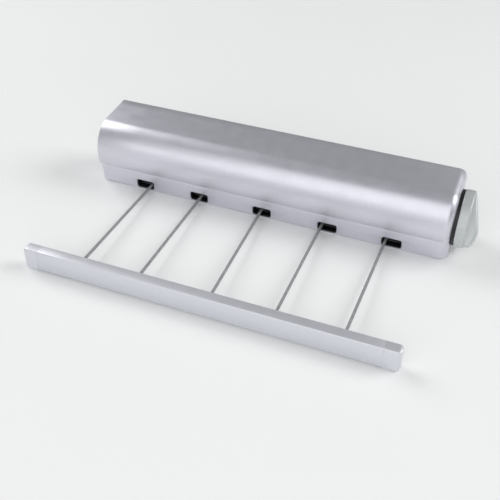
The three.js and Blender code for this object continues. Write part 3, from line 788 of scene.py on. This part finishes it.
def lock_knob():
    low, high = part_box("lock_knob")
    axis = middle("knob_bush")
    rim_radius = (high[1] - low[1]) / 2
    segments = RIDGES * STEPS_PER_RIDGE
    profile = []
    for k in range(5):
        angle = math.pi / 2 * k / 4
        profile.append((rim_radius - RIM_EDGE * (1 - math.sin(angle)),
                        RIM_EDGE * (1 - math.cos(angle)), k / 4))
    for k in range(5):
        angle = math.pi / 2 * k / 4
        profile.append((rim_radius - RIM_EDGE * (1 - math.cos(angle)),
                        RIM_DEPTH - RIM_EDGE * (1 - math.sin(angle)), 1 - k / 4))
    rings = []
    for radius, along, grooved in profile:
        ring = []
        for k in range(segments):
            angle = 2 * math.pi * k / segments
            groove = RIDGE_DEPTH * grooved * (0.5 - 0.5 * math.cos(RIDGES * angle))
            ring.append((low[0] + along, axis[1] + (radius - groove) * math.cos(angle),
                         axis[2] + (radius - groove) * math.sin(angle)))
        rings.append(ring)
    knob = loft("lock_knob_turned", rings, KNOB_PLASTIC)
    combine(knob, knob_grip(low[0] + RIM_DEPTH, high[0], axis, rim_radius), "UNION")
    profile = [(0, -0.002), (SOCKET_RADIUS, -0.002), (SOCKET_RADIUS, 0.006), (0, 0.006)]
    socket = turned("socket", profile, (low[0], axis[1], axis[2]), "x", None, 40)
    combine(knob, socket, "DIFFERENCE")
    smooth(knob, 40)
    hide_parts("lock_knob")
    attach(knob, "lock_knob")


def knob_grip(base, top, axis, rim_radius):
    """The finger grip: low at one rim, rising to a blunt end near the other."""
    turn = math.radians(GRIP_TURN)
    rise = top - base
    rings = []
    for k in range(25):
        t = k / 24
        s = -rim_radius + GRIP_MARGIN + t * (2 * rim_radius - 2 * GRIP_MARGIN)
        if t < GRIP_CREST:
            height = rise * (0.06 + 0.94 * (t / GRIP_CREST) ** 0.9)
        else:
            u = (t - GRIP_CREST) / (1 - GRIP_CREST)
            height = rise * (1 - 0.5 * u ** 2.2)
        half = GRIP_HALF * (0.82 + 0.18 * math.sin(math.pi * min(1, t * 1.1)))
        if t > 0.9:
            half *= math.sqrt(max(0.2, 1 - ((t - 0.9) / 0.1) ** 2 * 0.75))
        ring = [(s, -half, base - GRIP_ROOT), (s, half, base - GRIP_ROOT)]
        for j in range(13):
            angle = math.pi * j / 12
            across = half * (abs(math.cos(angle)) ** 0.55) * math.copysign(1, math.cos(angle))
            ring.append((s, across, base + height * (math.sin(angle) ** 0.6 if 0 < j < 12 else 0)))
        rings.append(ring)
    for ring in rings:
        for j, (s, across, x) in enumerate(ring):
            y = s * math.cos(turn) - across * math.sin(turn)
            z = s * math.sin(turn) + across * math.cos(turn)
            ring[j] = (x, axis[1] + y, axis[2] + z)
    return loft("grip", rings, KNOB_PLASTIC)


# ---------------------------------------------------------------- screws

def screw(node, axis):
    """A countersunk screw with a cross recess in its head."""
    low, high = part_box(node)
    centre = middle(node)
    if axis == "y":
        outer, sign = high[1], -1
        origin = (centre[0], outer, centre[2])
        length = high[1] - low[1]
    else:
        outer, sign = low[2], 1
        origin = (centre[0], centre[1], outer)
        length = high[2] - low[2]
    root, crest = THREAD_RADII
    profile = list(SCREW_HEAD)
    turns = int((length / MM - 3) / THREAD_PITCH)
    for k in range(turns):
        at = THREAD_START + k * THREAD_PITCH
        profile += [(root, at), (crest, at + THREAD_PITCH / 2)]
    profile += [(root, length / MM - 0.8), (0, length / MM)]
    points = [(radius * MM, sign * along * MM) for radius, along in profile]
    piece = turned(f"{node}_threaded", points, origin, axis, STEEL, 28)
    half_length, half_width, deep = RECESS
    corners = [(-half_length, -half_width), (half_length, -half_width), (half_length, half_width),
               (-half_length, half_width)]
    for angle in (0.4, 0.4 + math.pi / 2):
        cos, sin = math.cos(angle), math.sin(angle)
        outline = [(u * cos - v * sin, u * sin + v * cos) for u, v in corners]
        rings = []
        for depth in (sign * -0.3 * MM, sign * deep):
            x, y, z = origin
            if axis == "y":
                rings.append([(x + u, y + depth, z + v) for u, v in outline])
            else:
                rings.append([(x + u, y + v, z + depth) for u, v in outline])
        combine(piece, loft("recess", rings), "DIFFERENCE")
    smooth(piece)
    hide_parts(node)
    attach(piece, "housing")


# ---------------------------------------------------------------- the rest of the CAD nodes

def finish_nodes():
    """Gives each CAD node that stays in view its own procedural finish."""
    slots = {row["node"]: row["material_slot"] for row in frame["record"]["subparts"]}
    for name, node in frame["nodes"].items():
        node.data.materials.clear()
        node.data.materials.append(FINISH_OF_SLOT[slots[name]])


def build():
    make_camera()
    make_floor()
    make_lights()
    finish_nodes()
    for number in range(1, 6):
        line(number)
        winding(number)
        line_guide(number)
        ferrule(number)
    upper_cover()
    lower_cover()
    pull_bar()
    bar_cap("left")
    bar_cap("right")
    lock_knob()
    for number in range(1, 5):
        screw(f"plate_screw_{number}", "y")
    for number in (1, 2):
        screw(f"cover_screw_{number}", "z")


build()
